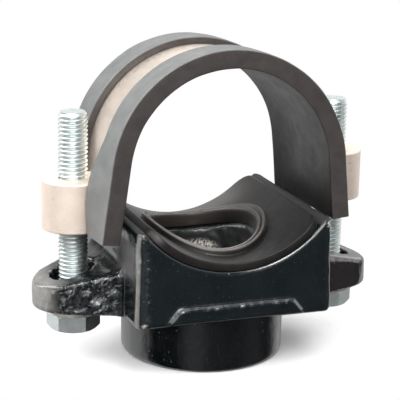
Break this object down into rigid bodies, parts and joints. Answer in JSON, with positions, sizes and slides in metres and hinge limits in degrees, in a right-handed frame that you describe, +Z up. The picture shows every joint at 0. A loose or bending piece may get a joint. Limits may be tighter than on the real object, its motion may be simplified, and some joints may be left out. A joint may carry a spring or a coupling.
{
  "type": "pipe branch saddle clamp",
  "caption": "Cast branch saddle with a rubber gasket, held on a pipe by a rubber-lined steel strap on screwed bolts.",
  "frame": {"origin": "centre of the outlet boss's lower face, which the part stands on", "axes": "+X from the left bolt to the right bolt, +Y along the clamped pipe away from the viewer, +Z up from the outlet towards the strap"},
  "size_m": [0.1463, 0.0844, 0.1308],
  "materials": {
    "black_painted_iron": "glossy black coating over a rough casting",
    "gasket_rubber": "satin",
    "liner_rubber": "matte",
    "stainless_band": "satin stainless",
    "block_steel": "satin turned steel",
    "zinc_steel": "zinc plated"
  },
  "bodies": {
    "saddle": {"saddle_body": "black_painted_iron", "saddle_gasket": "gasket_rubber"},
    "strap": {"strap_band": "stainless_band", "strap_liner": "liner_rubber", "left_nut_block": "block_steel", "right_nut_block": "block_steel"},
    "left_bolt_body": {"left_bolt": "zinc_steel", "left_washer": "zinc_steel"},
    "right_bolt_body": {"right_bolt": "zinc_steel", "right_washer": "zinc_steel"}
  },
  "joints": [
    {"name": "strap_travel", "type": "slide", "parent": "saddle", "child": "strap", "axis": [0, 0, 1], "range_m": [-0.006, 0.018]},
    {"name": "left_bolt_turn", "type": "hinge", "parent": "saddle", "child": "left_bolt_body", "pos_m": [-0.0559, 0, 0.02], "axis": [0, 0, 1], "range_deg": [-3703.4, 1234.8]},
    {"name": "right_bolt_turn", "type": "hinge", "parent": "saddle", "child": "right_bolt_body", "pos_m": [0.0571, 0, 0.02], "axis": [0, 0, 1], "range_deg": [-3703.4, 1234.8]}
  ],
  "couplings": [
    {"joint": "left_bolt_turn", "follows": "strap_travel", "rad_per_m": -3590.4},
    {"joint": "right_bolt_turn", "follows": "strap_travel", "rad_per_m": -3590.4}
  ]
}
